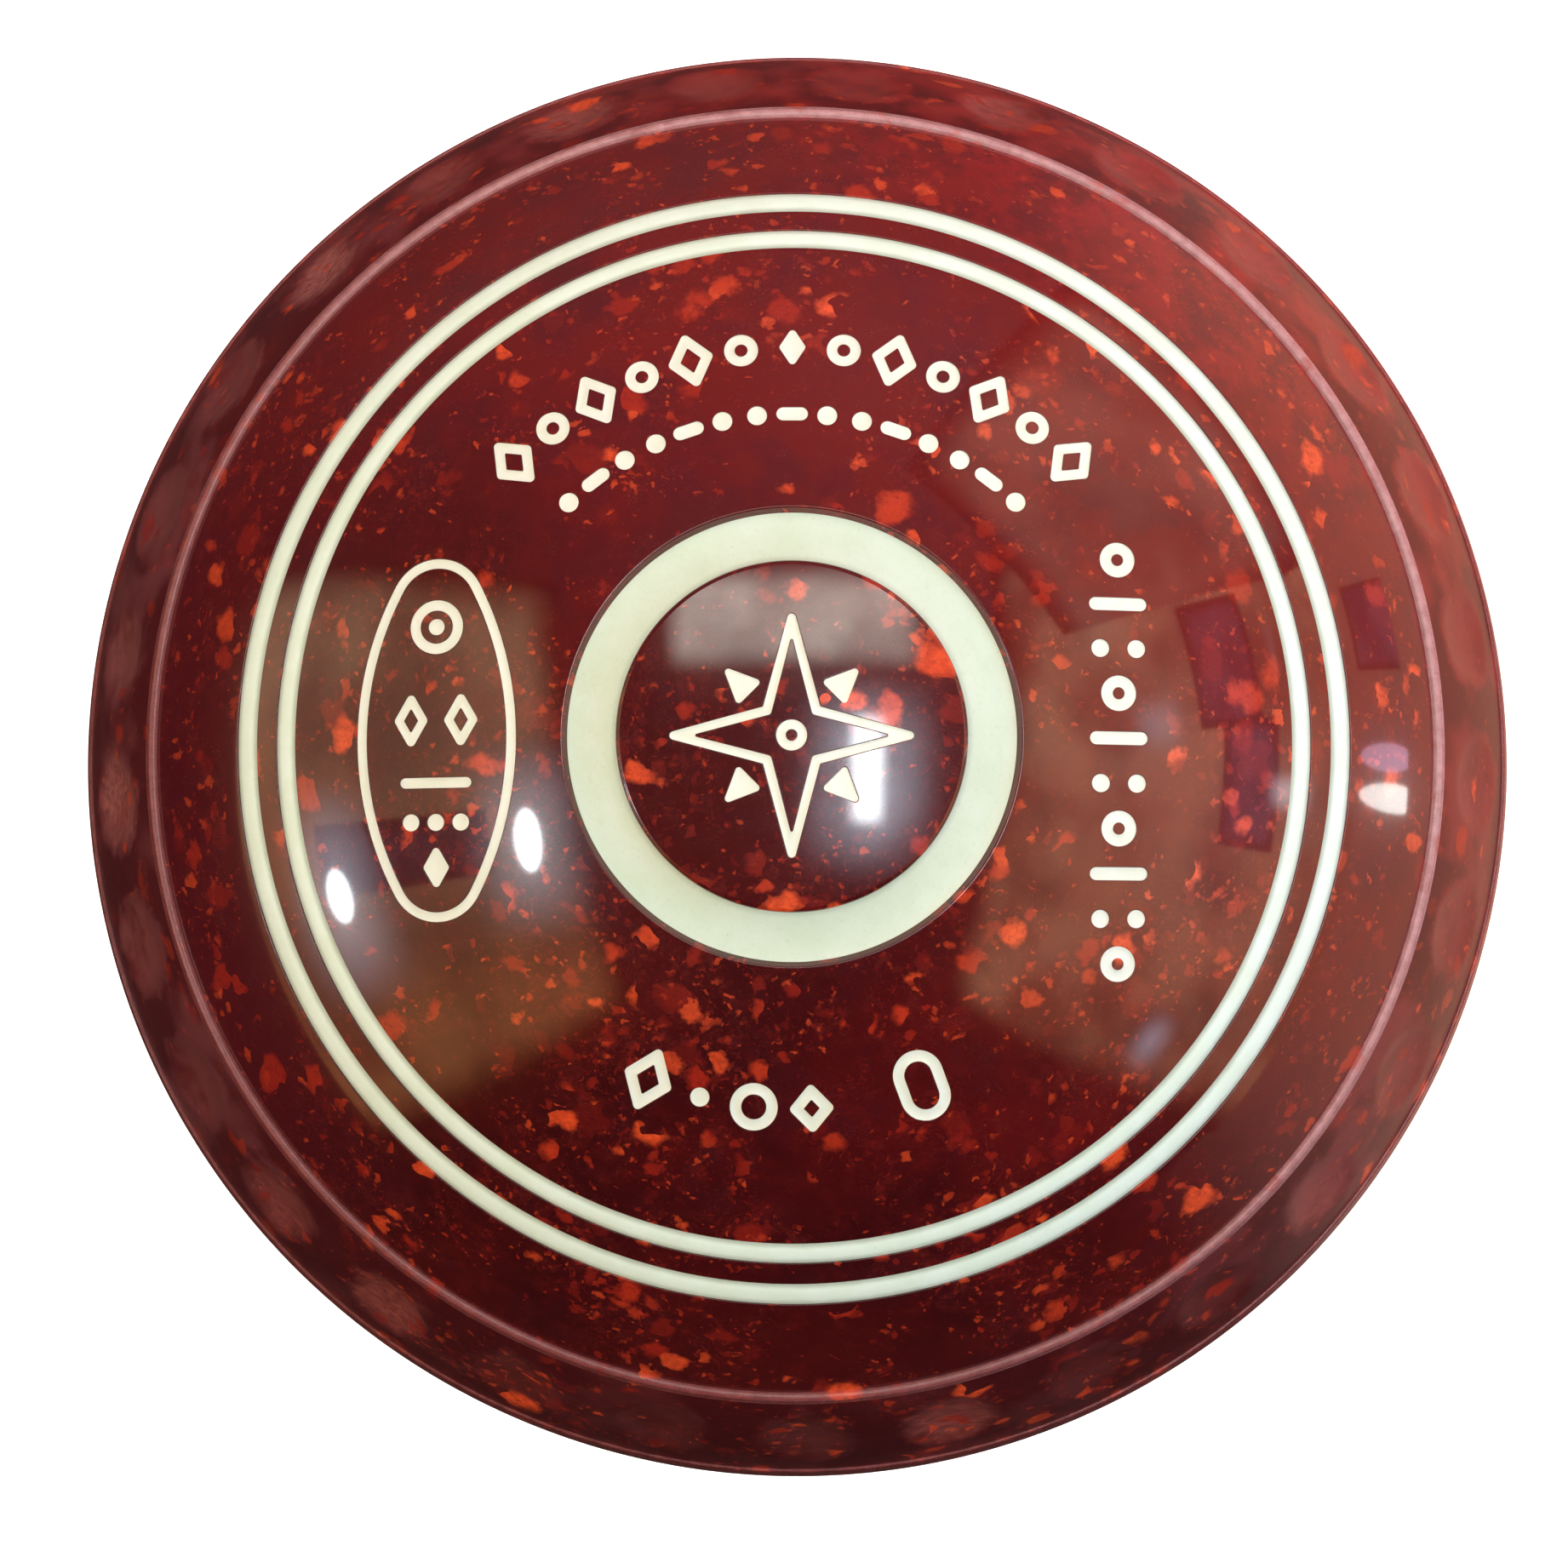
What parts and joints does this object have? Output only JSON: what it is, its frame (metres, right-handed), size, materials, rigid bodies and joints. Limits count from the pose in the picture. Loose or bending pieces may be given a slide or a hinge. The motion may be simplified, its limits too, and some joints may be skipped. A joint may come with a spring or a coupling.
{
  "type": "lawn bowl",
  "caption": "Biased lawn bowl in speckled resin, lying on its side, with dimpled grip bands, turned line rings and filled ornament.",
  "frame": {"origin": "centre of the flat rim round the bias-side disc, which is the lowest plane when the bowl lies on its bias side", "axes": "+Z is the bowl's axis of symmetry, from the bias side to the large-ring side; +Y is up for the engraved ornament, +X is to its right"},
  "size_m": [0.116, 0.116, 0.0991],
  "materials": {
    "speckled_resin": "polished maroon resin with orange-red flakes, satin on the grip bands",
    "dark_resin": "as moulded, hidden inside",
    "cream_line": "satin cured filler",
    "cream_disc": "glossy cured filler with a hollowed surface",
    "cream_engraving": "satin cured filler in a cut groove"
  },
  "bodies": {
    "root": {"core": "dark_resin", "outer_shell": "speckled_resin", "outer_line_ring": "cream_line", "inner_line_ring": "cream_line", "centre_ring": "cream_disc", "centre_emblem": "cream_engraving", "upper_lozenge_row": "cream_engraving", "upper_dot_row": "cream_engraving", "side_cartouche": "cream_engraving", "side_tick_column": "cream_engraving", "bottom_shape_row": "cream_engraving", "bias_line_ring": "cream_line", "bias_centre_ring": "cream_disc", "bias_emblem": "cream_engraving"}
  },
  "joints": []
}
